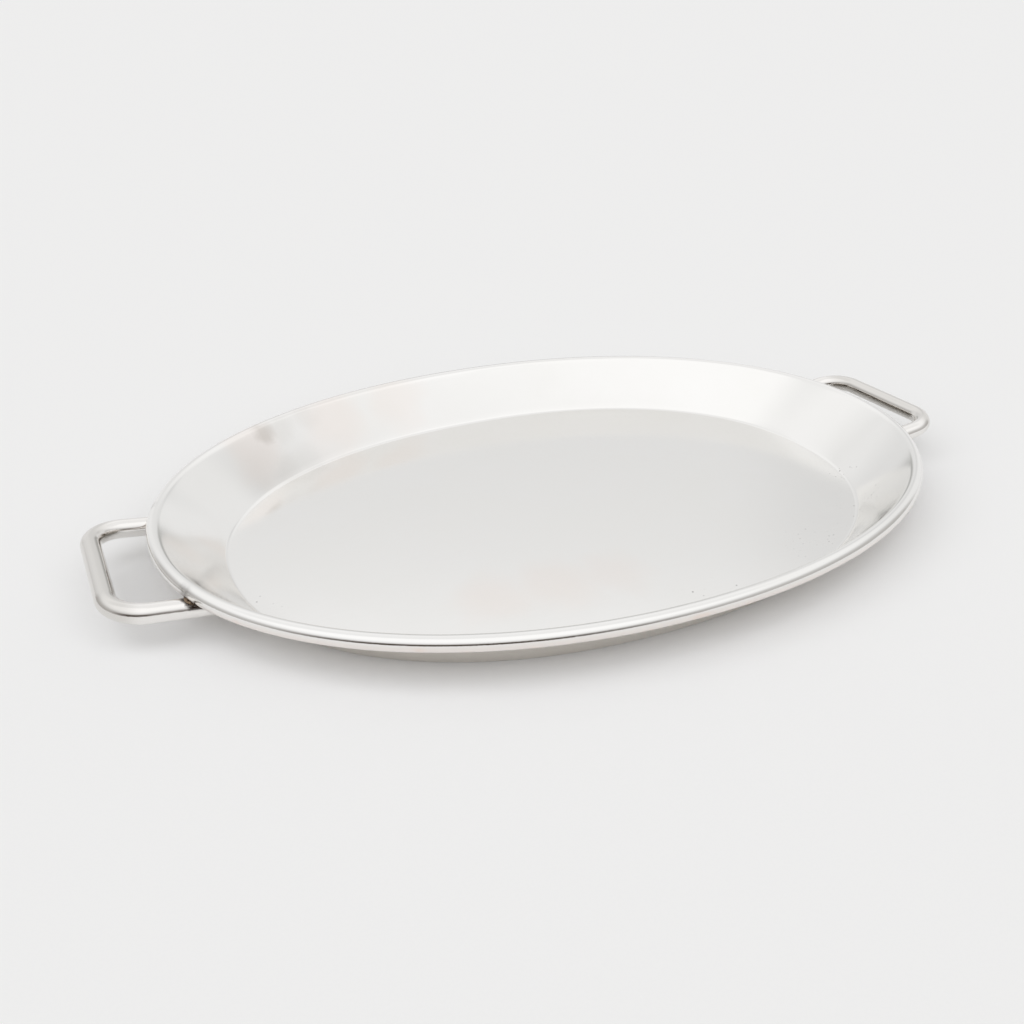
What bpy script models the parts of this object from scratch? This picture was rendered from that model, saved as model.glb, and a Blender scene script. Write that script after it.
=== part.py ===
"""Oval serving tray: a sheet-metal dish with a rolled, wired rim and two brazed loop handles.

Row frame, metres: +X runs along the tray from handle to handle, +Y across it and +Z up.
The origin is on the table, under the middle of the floor.
"""

import math

import bmesh
import bpy
from mathutils import Matrix, Vector

# ---------------------------------------------------------------- driving dimensions, metres
RIM_LENGTH = 0.5375  # over the rolled rim, along X
RIM_WIDTH = 0.3915  # over the rolled rim, along Y
RIM_TOP = 0.0380  # height of the rim's top above the table
RIM_DIAMETER = 0.0095  # outside of the roll
RIM_SQUARENESS = 2.07  # exponent of the rim's outline: 2 is an ellipse, more is squarer
SHEET = 0.0012  # thickness of the sheet metal
END_FLARE = 0.0400  # run of the sloping wall at the two ends
SIDE_FLARE = 0.0290  # run of the sloping wall at the two long sides
FLOOR_SQUARENESS = 2.17  # exponent of the floor's outline
FLOOR_FILLET = 0.0040  # radius between floor and wall, on the upper face
CURL_GAP = 0.0005  # between the free edge of the roll and the wall under it
WIRE_GAP = 0.0004  # between the core wire and the inside of the roll
WIRE_BUTT = 0.0010  # gap where the two ends of the core wire meet

GRIP_DIAMETER = 0.0120  # round bar of the handles
GRIP_REACH = 0.0293  # from the rim's outside to the middle of the grip
LEG_SPACING = 0.1056  # between the middles of a handle's two legs
BEND_RADIUS = 0.0205  # of the bar's centreline at the two corners
HANDLE_TILT = math.radians(7.5)  # how much the handle rises outwards
LEG_COPE = 0.00055  # how far a leg would cut into the roll that it crosses under
FOOT_BRAZE_RADIUS = 0.0022  # of the fillet of filler round each leg's foot
RIM_BRAZE_LENGTH = 0.0130  # of the filler between a leg and the rim, along the leg
RIM_BRAZE_WIDTH = 0.0120  # across the leg
RIM_BRAZE_HEIGHT = 0.0044

CLEARANCE = 0.0003  # between pieces that touch
MERGE_DISTANCE = 0.000001  # of points that are one point

# ---------------------------------------------------------------- fineness of the faceted solid
AROUND = 80  # stations round the rim
CURL_STEPS = 16
FILLET_STEPS = 3
BEND_STEPS = 7
GRIP_SIDES = 24
WIRE_SIDES = 8
FOOT_BRAZE_STEPS = 28
FOOT_BRAZE_SIDES = 12
RIM_BRAZE_STEPS = 20
BISECTIONS = 40

# ---------------------------------------------------------------- worked out from them
RIM_RADIUS = RIM_DIAMETER / 2
GRIP_RADIUS = GRIP_DIAMETER / 2
RIM_HALF_LENGTH = RIM_LENGTH / 2 - RIM_RADIUS  # of the roll's centreline
RIM_HALF_WIDTH = RIM_WIDTH / 2 - RIM_RADIUS
RIM_Z = RIM_TOP - RIM_RADIUS
RISE = RIM_Z - SHEET  # from the floor's upper face to the roll's centreline
FLOOR_HALF_LENGTH = RIM_HALF_LENGTH - END_FLARE
FLOOR_HALF_WIDTH = RIM_HALF_WIDTH - SIDE_FLARE
# The roll stops short of a full turn, where its free edge is CURL_GAP off the wall.
CURL_SWEEP = 2 * math.pi - math.acos(1 - (SHEET + CURL_GAP) / RIM_RADIUS)
WIRE_RADIUS = RIM_RADIUS - SHEET - WIRE_GAP
LEG_Y = LEG_SPACING / 2
LEG_DROP = RIM_RADIUS + GRIP_RADIUS - LEG_COPE  # from the roll's centreline to the leg's
GRIP_X = RIM_LENGTH / 2 + GRIP_REACH

SILVER = (0.86, 0.85, 0.83)
SOLDER = (0.62, 0.54, 0.44)
STEEL = (0.46, 0.46, 0.47)


# ---------------------------------------------------------------- outline of the tray
def signed_power(value, exponent):
    """value to a power, with its sign kept."""
    return math.copysign(abs(value) ** exponent, value)


def rim_point(angle):
    """A point of the roll's centreline, in plan."""
    power = 2 / RIM_SQUARENESS
    return Vector((
        RIM_HALF_LENGTH * signed_power(math.cos(angle), power),
        RIM_HALF_WIDTH * signed_power(math.sin(angle), power),
        0.0,
    ))


def rim_normal(point):
    """The outline's outward normal at one of its points, in plan."""
    power = RIM_SQUARENESS - 1
    return Vector((
        signed_power(point.x / RIM_HALF_LENGTH, power) / RIM_HALF_LENGTH,
        signed_power(point.y / RIM_HALF_WIDTH, power) / RIM_HALF_WIDTH,
        0.0,
    )).normalized()


def solve(inside, low, high):
    """The value between low and high where inside(value) turns from true to false."""
    for _ in range(BISECTIONS):
        middle = (low + high) / 2
        low, high = (middle, high) if inside(middle) else (low, middle)
    return (low + high) / 2


def beyond_floor(point):
    """True outside the floor's outline."""
    across = abs(point.x / FLOOR_HALF_LENGTH) ** FLOOR_SQUARENESS
    along = abs(point.y / FLOOR_HALF_WIDTH) ** FLOOR_SQUARENESS
    return across + along > 1


class Station:
    """One upright cut through the wall and rim, square to the rim's outline."""

    def __init__(self, angle):
        self.middle = rim_point(angle) + Vector((0, 0, RIM_Z))
        self.out = rim_normal(self.middle)
        run = solve(
            lambda depth: beyond_floor(self.middle - depth * self.out),
            0,
            min(FLOOR_HALF_LENGTH, FLOOR_HALF_WIDTH),
        )
        # The wall's upper face runs from the floor's edge to touch the roll's circle from above.
        self.slope = math.atan2(RISE, run) + math.asin(RIM_RADIUS / math.hypot(RISE, run))
        self.run = run

    def at(self, out, up):
        """The point this far outwards and upwards of the roll's middle."""
        return self.middle + out * self.out + Vector((0, 0, up))

    def on_circle(self, radius, turned):
        """A point on a circle round the roll's middle, turned clockwise from where the wall meets it."""
        angle = math.pi / 2 + self.slope - turned
        return self.at(radius * math.cos(angle), radius * math.sin(angle))

    def on_wall(self, depth, up):
        """The point this high from the roll's middle, on the line this far under the wall's upper face."""
        foot_out = -(RIM_RADIUS - depth) * math.sin(self.slope)
        foot_up = (RIM_RADIUS - depth) * math.cos(self.slope)
        return self.at(foot_out + (up - foot_up) / math.tan(self.slope), up)

    def section(self):
        """The sheet's upper face, from the floor's edge over the fillet, wall and roll."""
        tangent = FLOOR_FILLET * math.tan(self.slope / 2)
        centre = (-self.run - tangent, FLOOR_FILLET - RISE)
        points = []
        for step in range(FILLET_STEPS + 1):
            turned = self.slope * step / FILLET_STEPS - math.pi / 2
            points.append(self.at(
                centre[0] + FLOOR_FILLET * math.cos(turned),
                centre[1] + FLOOR_FILLET * math.sin(turned),
            ))
        for step in range(CURL_STEPS + 1):
            points.append(self.on_circle(RIM_RADIUS, CURL_SWEEP * step / CURL_STEPS))
        return points


def stations():
    """The stations, evenly spread round the rim, counter-clockwise from +X."""
    return [Station(2 * math.pi * step / AROUND) for step in range(AROUND)]


def station_beside(y):
    """The station of the +X end whose roll passes over this y."""
    angle = solve(lambda value: rim_point(value).y < y, 0, math.pi / 2)
    return Station(angle)


# ---------------------------------------------------------------- modelling helpers
def material(name, colour, roughness):
    """A metal."""
    made = bpy.data.materials.new(name)
    made.use_nodes = True
    shader = made.node_tree.nodes["Principled BSDF"]
    shader.inputs["Base Color"].default_value = (*colour, 1)
    shader.inputs["Metallic"].default_value = 1.0
    shader.inputs["Roughness"].default_value = roughness
    return made


def place(name, data, collection, finish=None, matrix=None):
    """An object of this mesh or curve, in its collection."""
    made = bpy.data.objects.new(name, data)
    if matrix is not None:
        made.matrix_world = matrix
    if finish is not None and not data.materials:
        data.materials.append(finish)
    collection.objects.link(made)
    return made


def smooth(mesh, crease=math.radians(35)):
    """Shades a round piece smooth, apart from its edges."""
    mesh.shade_smooth()
    mesh.set_sharp_from_angle(angle=crease)


def loft(name, rings, close_top):
    """A skin over rings of equal counts, from a flat bottom. Faces point up and outwards."""
    bm = bmesh.new()
    loops = [[bm.verts.new(point) for point in ring] for ring in rings]
    bm.faces.new(loops[0])
    count = len(rings[0])
    for inner, outer in zip(loops, loops[1:]):
        for here in range(count):
            after = (here + 1) % count
            bm.faces.new((inner[here], outer[here], outer[after], inner[after]))
    if close_top:
        bm.faces.new(loops[-1])
        bmesh.ops.recalc_face_normals(bm, faces=bm.faces)
    mesh = bpy.data.meshes.new(name)
    bm.to_mesh(mesh)
    bm.free()
    return mesh


def bar(name, points, radius, sides, closed=False):
    """A round bar along points, as a curve with a bevel and, unless it is closed, filled ends."""
    curve = bpy.data.curves.new(name, "CURVE")
    curve.dimensions = "3D"
    curve.bevel_depth = radius
    curve.bevel_resolution = sides // 2 - 2
    curve.use_fill_caps = not closed
    spline = curve.splines.new("POLY")
    spline.points.add(len(points) - 1)
    for target, point in zip(spline.points, points):
        target.co = (*point, 1)
    spline.use_cyclic_u = closed
    return curve


def as_mesh(curve, name):
    """The curve's surface as a closed mesh, so that Booleans can cut it."""
    holder = place(name + "_path", curve, bpy.context.scene.collection)
    graph = bpy.context.evaluated_depsgraph_get()
    mesh = bpy.data.meshes.new_from_object(holder.evaluated_get(graph))
    bpy.data.objects.remove(holder)
    bm = bmesh.new()
    bm.from_mesh(mesh)
    bmesh.ops.remove_doubles(bm, verts=bm.verts, dist=MERGE_DISTANCE)
    bmesh.ops.recalc_face_normals(bm, faces=bm.faces)
    bm.to_mesh(mesh)
    bm.free()
    mesh.name = name
    return mesh


def cut(target, cutter):
    """Takes the cutter's shape out of the target."""
    boolean = target.modifiers.new("cut_by_" + cutter.name, "BOOLEAN")
    boolean.operation = "DIFFERENCE"
    boolean.solver = "EXACT"
    boolean.object = cutter


def as_cutter(made):
    """Keeps a helper out of the model."""
    made.hide_render = True
    made.display_type = "WIRE"
    return made


# ---------------------------------------------------------------- the dish
def tray_body(around, collection, finish):
    """Floor, sloping wall and rolled rim, all of one sheet."""
    sections = [station.section() for station in around]
    mesh = loft("tray_body", list(zip(*sections)), close_top=False)
    smooth(mesh)
    body = place("tray_body", mesh, collection, finish)
    shell = body.modifiers.new("sheet", "SOLIDIFY")
    shell.thickness = SHEET
    shell.offset = -1
    shell.use_even_offset = True
    shell.use_quality_normals = True
    return body


def rim_wire(around, collection, finish):
    """The core wire inside the roll. Its two ends butt at +X, behind a handle."""
    points = [station.middle for station in around]
    half_butt = Vector((0, WIRE_BUTT / 2, 0))
    points = [points[0] + half_butt, *points[1:], points[0] - half_butt]
    curve = bar("rim_wire", points, WIRE_RADIUS, WIRE_SIDES)
    return place("rim_wire", curve, collection, finish)


# ---------------------------------------------------------------- the handles
def handle_matrix(side):
    """A handle's own frame: X outwards along its legs, from over the rim's crossing with them."""
    crossing = station_beside(LEG_Y).middle
    origin = Vector((crossing.x, 0, crossing.z - LEG_DROP))
    return (
        Matrix.Rotation(0 if side > 0 else math.pi, 4, "Z")
        @ Matrix.Translation(origin)
        @ Matrix.Rotation(-HANDLE_TILT, 4, "Y")
    )


def handle_path():
    """The bar's centreline in the handle's own frame: a leg, a bend, the grip, a bend and a leg."""
    station = station_beside(LEG_Y)
    reach = (GRIP_X - station.middle.x) / math.cos(HANDLE_TILT)
    # The untrimmed leg ends inside the dish, a bar's thickness past the foot of the wall.
    root = (station.run * station.out.x + GRIP_DIAMETER) / math.cos(HANDLE_TILT)
    half = [Vector((-root, LEG_Y, 0))]
    for step in range(BEND_STEPS + 1):
        angle = math.pi / 2 * (1 - step / BEND_STEPS)
        half.append(Vector((
            reach - BEND_RADIUS * (1 - math.cos(angle)),
            LEG_Y - BEND_RADIUS * (1 - math.sin(angle)),
            0,
        )))
    return half + [Vector((point.x, -point.y, 0)) for point in reversed(half)]


def foot_braze(y_side):
    """The filler round a leg's foot, along the line where the leg meets the face under the wall."""
    station = station_beside(LEG_Y)
    into_handle = handle_matrix(1).inverted()
    out = Vector((station.out.x, y_side * station.out.y, 0))
    normal = math.sin(station.slope) * out - Vector((0, 0, math.cos(station.slope)))
    middle = Vector((station.middle.x, y_side * station.middle.y, station.middle.z))
    on_face = into_handle @ (middle - (RIM_RADIUS - SHEET - CLEARANCE) * normal)
    normal = into_handle.to_3x3() @ normal
    ring = []
    for step in range(FOOT_BRAZE_STEPS):
        angle = 2 * math.pi * step / FOOT_BRAZE_STEPS
        across = LEG_Y * y_side + GRIP_RADIUS * math.cos(angle)
        line = Vector((0, across, GRIP_RADIUS * math.sin(angle)))
        along = normal.dot(on_face - line) / normal.x
        ring.append(line + Vector((along, 0, 0)))
    curve = bar("foot_braze", ring, FOOT_BRAZE_RADIUS, FOOT_BRAZE_SIDES, closed=True)
    return as_mesh(curve, "foot_braze")


def rim_braze(y_side):
    """The filler where a leg touches the underside of the roll: a flattened drop."""
    middle = Matrix.Translation((0, LEG_Y * y_side, LEG_DROP - RIM_RADIUS))
    size = Matrix.Diagonal((RIM_BRAZE_LENGTH, RIM_BRAZE_WIDTH, RIM_BRAZE_HEIGHT, 1))
    bm = bmesh.new()
    bmesh.ops.create_uvsphere(
        bm,
        u_segments=RIM_BRAZE_STEPS,
        v_segments=RIM_BRAZE_STEPS // 2,
        radius=0.5,
        matrix=middle @ size,
    )
    mesh = bpy.data.meshes.new("rim_braze")
    bm.to_mesh(mesh)
    bm.free()
    return mesh


def wall_cutter(around, collection):
    """Everything inside the wall's under face and a clearance, to trim the feet of the legs."""
    depth = SHEET + CLEARANCE
    low = [station.on_wall(depth, -RIM_Z) for station in around]
    high = [station.on_circle(RIM_RADIUS - depth, 0) for station in around]
    mesh = loft("wall_cutter", [low, high], close_top=True)
    return as_cutter(place("wall_cutter", mesh, collection))


def rim_cutter(around, collection):
    """The roll and a clearance, to cope the legs where they pass under it."""
    points = [station.middle for station in around]
    curve = bar("rim_cutter", points, RIM_RADIUS + CLEARANCE, GRIP_SIDES, closed=True)
    return as_cutter(place("rim_cutter", as_mesh(curve, "rim_cutter"), collection))


def handles(collection, helpers, around, silver, solder):
    """Both handles, each trimmed to the wall and the roll, and the filler that holds them."""
    wall = wall_cutter(around, helpers)
    rim = rim_cutter(around, helpers)
    path = handle_path()
    grip = as_mesh(bar("handle", path, GRIP_RADIUS, GRIP_SIDES), "handle")
    around_grip = as_mesh(bar("grip_cutter", path, GRIP_RADIUS + CLEARANCE, GRIP_SIDES), "grip_cutter")
    fillers = {
        (kind, y_side): make(y_side)
        for kind, make in (("foot_braze", foot_braze), ("rim_braze", rim_braze))
        for y_side in (-1, 1)
    }
    for mesh in (grip, *fillers.values()):
        smooth(mesh)
    for side, side_name in ((-1, "left"), (1, "right")):
        matrix = handle_matrix(side)
        handle = place("handle_" + side_name, grip, collection, silver, matrix)
        cut(handle, wall)
        cut(handle, rim)
        grip_cutter = as_cutter(
            place("grip_cutter_" + side_name, around_grip, helpers, None, matrix)
        )
        for (kind, y_side), mesh in fillers.items():
            end_name = "front" if y_side * side < 0 else "back"
            filler = place(f"{kind}_{side_name}_{end_name}", mesh, collection, solder, matrix)
            cut(filler, wall)
            cut(filler, rim)
            cut(filler, grip_cutter)


def build():
    """Clears the scene and makes the tray."""
    for old in list(bpy.data.objects):
        bpy.data.objects.remove(old)
    parts = bpy.data.collections.new("serving_tray")
    helpers = bpy.data.collections.new("cutters")
    bpy.context.scene.collection.children.link(parts)
    bpy.context.scene.collection.children.link(helpers)
    silver = material("polished_silver_plate", SILVER, 0.12)
    solder = material("silver_solder", SOLDER, 0.35)
    steel = material("core_wire_steel", STEEL, 0.40)

    around = stations()
    tray_body(around, parts, silver)
    rim_wire(around, parts, steel)
    handles(parts, helpers, around, silver, solder)


build()
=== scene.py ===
"""Oval serving tray of polished silver plate, with a rolled rim and two brazed bar handles.

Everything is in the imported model's frame: metres, +X from handle to handle, +Z up, the table at 0.
"""

import logging
import math
from dataclasses import dataclass, field
from enum import Enum
from typing import Any, Callable

import bmesh
import bpy
from mathutils import Matrix, Vector, noise


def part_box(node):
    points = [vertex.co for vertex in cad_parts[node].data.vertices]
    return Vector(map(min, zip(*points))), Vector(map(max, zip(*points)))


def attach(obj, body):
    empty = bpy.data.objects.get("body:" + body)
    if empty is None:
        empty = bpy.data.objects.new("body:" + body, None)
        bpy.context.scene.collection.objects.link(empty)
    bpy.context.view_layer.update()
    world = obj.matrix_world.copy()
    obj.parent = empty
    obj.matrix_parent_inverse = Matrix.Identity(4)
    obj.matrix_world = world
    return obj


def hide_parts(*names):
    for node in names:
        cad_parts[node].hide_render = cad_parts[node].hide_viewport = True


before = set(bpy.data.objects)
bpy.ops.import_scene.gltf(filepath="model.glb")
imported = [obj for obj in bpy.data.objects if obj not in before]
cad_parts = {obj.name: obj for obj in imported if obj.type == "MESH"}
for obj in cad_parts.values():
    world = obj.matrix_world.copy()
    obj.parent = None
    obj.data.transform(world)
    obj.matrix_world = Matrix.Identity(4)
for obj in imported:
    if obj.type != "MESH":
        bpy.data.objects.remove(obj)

MM = 0.001
WELD = 0.01 * MM
CUT_SNAP = 0.001 * MM
HALVINGS = 40
BODY = "root"

log = logging.getLogger("serving_tray")


class Side(Enum):
    """The tray's two ends, by the sign of X."""

    LEFT = -1
    RIGHT = 1


class End(Enum):
    """The two legs of a handle, by the sign of Y."""

    FRONT = -1
    BACK = 1


class Mark(Enum):
    """What the plate is marked with, by the attribute that its finish reads: pitting, blush, smudges
    with painted reflections, and flux with painted shade.
    """

    PITTING = "pitting"
    # Smudges, with painted reflections: darker patches on the wall and a darker band on the roll.
    SMEAR = "smear"
    # Blush, with the warm part of the painted reflection on the roll's lower outer side.
    BLUSH = "blush"
    # Flux, with painted shade in the dark gaps at the joints and under the roll.
    RESIDUE = "residue"


# ---------------------------------------------------------------- colour and nodes
def linear(hex_colour: str) -> tuple[float, float, float, float]:
    """Turns an sRGB hex colour to linear light.

    Args:
        hex_colour: The colour, as "#RRGGBB".

    Returns:
        Red, green, blue and an alpha of 1.
    """
    channels = [int(hex_colour[start : start + 2], 16) / 255 for start in (1, 3, 5)]
    light = [c / 12.92 if c <= 0.04045 else ((c + 0.055) / 1.055) ** 2.4 for c in channels]
    return (*light, 1.0)


def add_node(
    tree: bpy.types.NodeTree,
    kind: str,
    settings: dict[str, Any] | None = None,
    inputs: dict[str | int, Any] | None = None,
) -> bpy.types.Node:
    """Adds a shader node with its settings and links.

    Args:
        tree: The node tree that takes it.
        kind: The node's type, after "ShaderNode".
        settings: Its own properties, by name.
        inputs: A value or a socket to link, for each input by name or number.

    Returns:
        The node.
    """
    node = tree.nodes.new("ShaderNode" + kind)
    for name, value in (settings or {}).items():
        setattr(node, name, value)
    for name, value in (inputs or {}).items():
        if isinstance(value, bpy.types.NodeSocket):
            tree.links.new(value, node.inputs[name])
        else:
            node.inputs[name].default_value = value
    return node


def new_material(
    name: str, metallic: float, roughness: float
) -> tuple[bpy.types.Material, bpy.types.NodeTree, bpy.types.Node]:
    """Starts a material.

    Args:
        name: The material's name.
        metallic: 1 for bare metal, or 0.
        roughness: 0 for a mirror to 1 for chalk.

    Returns:
        The material, its tree and its Principled shader.
    """
    material = bpy.data.materials.new(name)
    material.use_nodes = True
    shader = material.node_tree.nodes["Principled BSDF"]
    shader.inputs["Metallic"].default_value = metallic
    shader.inputs["Roughness"].default_value = roughness
    return material, material.node_tree, shader


def mottle(
    tree: bpy.types.NodeTree,
    grain_mm: float,
    detail: float,
    tones: tuple[str, str],
    spread: tuple[float, float] = (0.0, 1.0),
    fineness: float = 0.5,
) -> tuple[bpy.types.NodeSocket, bpy.types.NodeSocket]:
    """Mixes two tones by a grain.

    Args:
        tree: The material's tree.
        grain_mm: The size of the grain.
        detail: How many finer grains it holds.
        tones: The hex colours of the grain's low and high places.
        spread: Where the grain goes from one tone to the other.
        fineness: How strong the finer grains are.

    Returns:
        The colour, and the grain's height from 0 to 1.
    """
    place = add_node(tree, "TexCoord").outputs["Object"]
    grain = add_node(
        tree,
        "TexNoise",
        inputs={"Vector": place, "Scale": 1 / (grain_mm * MM), "Detail": detail, "Roughness": fineness},
    ).outputs["Fac"]
    share = add_node(
        tree, "MapRange", inputs={"Value": grain, "From Min": spread[0], "From Max": spread[1]}
    )
    low, high = map(linear, tones)
    tone = add_node(tree, "Mix", {"data_type": "RGBA"}, {0: share.outputs[0], 6: low, 7: high})
    return tone.outputs[2], grain


# ---------------------------------------------------------------- finishes
@dataclass(frozen=True)
class SilverPlate:
    """Silver plate, buffed and then rubbed by hand for decades: a soft mirror with a warm bloom."""

    name: str = "silver_plate_buffed"
    clean: str = "#F5F4F3"
    bloom: str = "#F1F0ED"
    # Warm blush, also painted as the warm reflection on the roll's lower outer side.
    blush: str = "#F3E2D8"
    # Grey of a smudge, also painted as reflections: darker patches on the wall and a band on the roll.
    smear: str = "#C9C3BC"
    # Dark brown of burnt flux, also painted as shade in the gaps at the joints and under the roll.
    residue: str = "#33271E"
    roughness: float = 0.085
    hazed_roughness: float = 0.17
    # A range is where a noise from 0 to 1 goes from none to all.
    cloud_mm: float = 70.0
    cloud_range: tuple[float, float] = (0.35, 0.70)
    hairline_mm: float = 0.7
    hairline_length_mm: float = 60.0
    hairline_depth_mm: float = 0.004
    hairline_range: tuple[float, float] = (0.55, 0.72)
    hairline_turns: tuple[float, float] = (0.35, -0.60)
    pit_spacing_mm: float = 2.8
    pit_radius_mm: float = 0.728
    pit_edge_mm: float = 0.28
    pit_chance: tuple[float, float] = (0.35, 0.85)
    pit_depth_mm: float = 0.05
    stain_and_shade_mm: float = 3.0
    stain_and_shade_range: tuple[float, float] = (0.25, 0.55)

    def hairlines(
        self, tree: bpy.types.NodeTree, place: bpy.types.NodeSocket, turn: float
    ) -> bpy.types.NodeSocket:
        """Wiping marks in one direction, coarser than real ones, which are too fine to show.

        Args:
            tree: The material's tree.
            place: Object coordinates.
            turn: The marks' direction in plan, in radians.

        Returns:
            Their height, 0 to 1.
        """
        along = 1 / (self.hairline_length_mm * MM)
        across = 1 / (self.hairline_mm * MM)
        turned = add_node(
            tree,
            "Mapping",
            inputs={"Vector": place, "Rotation": (0, 0, turn), "Scale": (along, across, across)},
        )
        streak = add_node(
            tree,
            "TexNoise",
            inputs={"Vector": turned.outputs[0], "Scale": 1.0, "Detail": 1.0, "Distortion": 0.3},
        )
        low, high = self.hairline_range
        return add_node(
            tree,
            "MapRange",
            {"interpolation_type": "SMOOTHSTEP"},
            {"Value": streak.outputs["Fac"], "From Min": low, "From Max": high},
        ).outputs[0]

    def pits(self, tree: bpy.types.NodeTree, place: bpy.types.NodeSocket) -> bpy.types.NodeSocket:
        """Small pits where the plate was hammered or corroded, kept to the surface's "pitting".

        Args:
            tree: The material's tree.
            place: Object coordinates.

        Returns:
            0 on sound plate to 1 in a pit.
        """
        cells = add_node(
            tree, "TexVoronoi", inputs={"Vector": place, "Scale": 1 / (self.pit_spacing_mm * MM)}
        )
        none, largest = self.pit_chance
        size = add_node(
            tree,
            "MapRange",
            inputs={
                "Value": cells.outputs["Color"],
                "From Min": none,
                "From Max": largest,
                "To Max": self.pit_radius_mm / self.pit_spacing_mm,
            },
        )
        inside = add_node(
            tree, "Math", {"operation": "SUBTRACT"}, {0: size.outputs[0], 1: cells.outputs["Distance"]}
        )
        dots = add_node(
            tree,
            "MapRange",
            {"interpolation_type": "SMOOTHSTEP"},
            {"Value": inside.outputs[0], "From Max": self.pit_edge_mm / self.pit_spacing_mm},
        )
        pitting = add_node(tree, "Attribute", {"attribute_name": Mark.PITTING.value})
        return add_node(
            tree, "Math", {"operation": "MULTIPLY"}, {0: dots.outputs[0], 1: pitting.outputs["Fac"]}
        ).outputs[0]

    def make(self) -> bpy.types.Material:
        """Makes the finish.

        Returns:
            The material.
        """
        material, tree, shader = new_material(self.name, 1.0, self.roughness)
        place = add_node(tree, "TexCoord").outputs["Object"]
        tones = (self.clean, self.bloom)
        colour, clouds = mottle(tree, self.cloud_mm, 5.0, tones, fineness=0.6)
        haze = add_node(
            tree,
            "MapRange",
            inputs={
                "Value": clouds,
                "From Min": self.cloud_range[0],
                "From Max": self.cloud_range[1],
                "To Min": self.roughness,
                "To Max": self.hazed_roughness,
            },
        )
        tree.links.new(haze.outputs[0], shader.inputs["Roughness"])
        mark_nodes = {
            mark: add_node(tree, "Attribute", {"attribute_name": mark.value}).outputs["Fac"]
            for mark in (Mark.BLUSH, Mark.SMEAR, Mark.RESIDUE)
        }
        speckle = add_node(
            tree,
            "TexNoise",
            inputs={
                "Vector": place,
                "Scale": 1 / (self.stain_and_shade_mm * MM),
                "Detail": 4.0,
                "Roughness": 0.65,
            },
        )
        low, high = self.stain_and_shade_range
        patch = add_node(
            tree,
            "MapRange",
            inputs={"Value": speckle.outputs["Fac"], "From Min": low, "From Max": high},
        )
        pits = self.pits(tree, place)
        # Flux and painted shade, broken up by speckle, with the pits.
        stain_and_shade = add_node(
            tree,
            "Math",
            {"operation": "MULTIPLY_ADD", "use_clamp": True},
            {0: mark_nodes[Mark.RESIDUE], 1: patch.outputs[0], 2: pits},
        )
        for amount, marked in (
            (mark_nodes[Mark.BLUSH], self.blush),
            (mark_nodes[Mark.SMEAR], self.smear),
            (stain_and_shade.outputs[0], self.residue),
        ):
            colour = add_node(
                tree, "Mix", {"data_type": "RGBA"}, {0: amount, 6: colour, 7: linear(marked)}
            ).outputs[2]
        tree.links.new(colour, shader.inputs["Base Color"])

        first, second = (self.hairlines(tree, place, turn) for turn in self.hairline_turns)
        lines = add_node(tree, "Math", {"operation": "MAXIMUM"}, {0: first, 1: second})
        scored = add_node(
            tree, "Bump", inputs={"Distance": self.hairline_depth_mm * MM, "Height": lines.outputs[0]}
        )
        pitted = add_node(
            tree,
            "Bump",
            {"invert": True},
            {"Distance": self.pit_depth_mm * MM, "Height": pits, "Normal": scored.outputs[0]},
        )
        tree.links.new(pitted.outputs[0], shader.inputs["Normal"])
        return material


@dataclass(frozen=True)
class SilverSolder:
    """Silver solder, run by torch and never buffed: lumpy, half dull, browned by flux."""

    name: str = "silver_solder_torch_run"
    bright: str = "#9A8570"
    burnt: str = "#1C130D"
    roughness: float = 0.32
    grain_mm: float = 1.6
    grain_depth_mm: float = 0.15
    burn_range: tuple[float, float] = (0.44, 0.60)

    def make(self) -> bpy.types.Material:
        """Makes the finish.

        Returns:
            The material.
        """
        material, tree, shader = new_material(self.name, 1.0, self.roughness)
        tones = (self.bright, self.burnt)
        colour, grain = mottle(tree, self.grain_mm, 4.0, tones, self.burn_range)
        bump = add_node(tree, "Bump", inputs={"Distance": self.grain_depth_mm * MM, "Height": grain})
        tree.links.new(colour, shader.inputs["Base Color"])
        tree.links.new(bump.outputs[0], shader.inputs["Normal"])
        return material


@dataclass(frozen=True)
class DrawnSteel:
    """Steel wire drawn through a die: grey, satin, a little mottled."""

    name: str = "steel_wire_drawn"
    light: str = "#A3A3A5"
    dark: str = "#77777A"
    roughness: float = 0.38
    mottle_mm: float = 1.2

    def make(self) -> bpy.types.Material:
        """Makes the finish.

        Returns:
            The material.
        """
        material, tree, shader = new_material(self.name, 1.0, self.roughness)
        colour, _ = mottle(tree, self.mottle_mm, 3.0, (self.light, self.dark))
        tree.links.new(colour, shader.inputs["Base Color"])
        return material


@dataclass(frozen=True)
class PaperSweep:
    """Matte studio paper: pale neutral grey with a faint fibre."""

    name: str = "backdrop_paper_matte"
    light: str = "#F4F4F4"
    dark: str = "#F2F2F2"
    roughness: float = 1.0
    fibre_mm: float = 1.5

    def make(self) -> bpy.types.Material:
        """Makes the finish.

        Returns:
            The material.
        """
        material, tree, shader = new_material(self.name, 0.0, self.roughness)
        colour, _ = mottle(tree, self.fibre_mm, 2.0, (self.light, self.dark))
        tree.links.new(colour, shader.inputs["Base Color"])
        shader.inputs["Specular IOR Level"].default_value = 0.0
        return material


# ---------------------------------------------------------------- mesh helpers
def add_object(name: str, data: bpy.types.ID) -> bpy.types.Object:
    """Puts a mesh, lamp or camera in the scene, as an object at the origin."""
    added = bpy.data.objects.new(name, data)
    bpy.context.scene.collection.objects.link(added)
    return added


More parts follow.
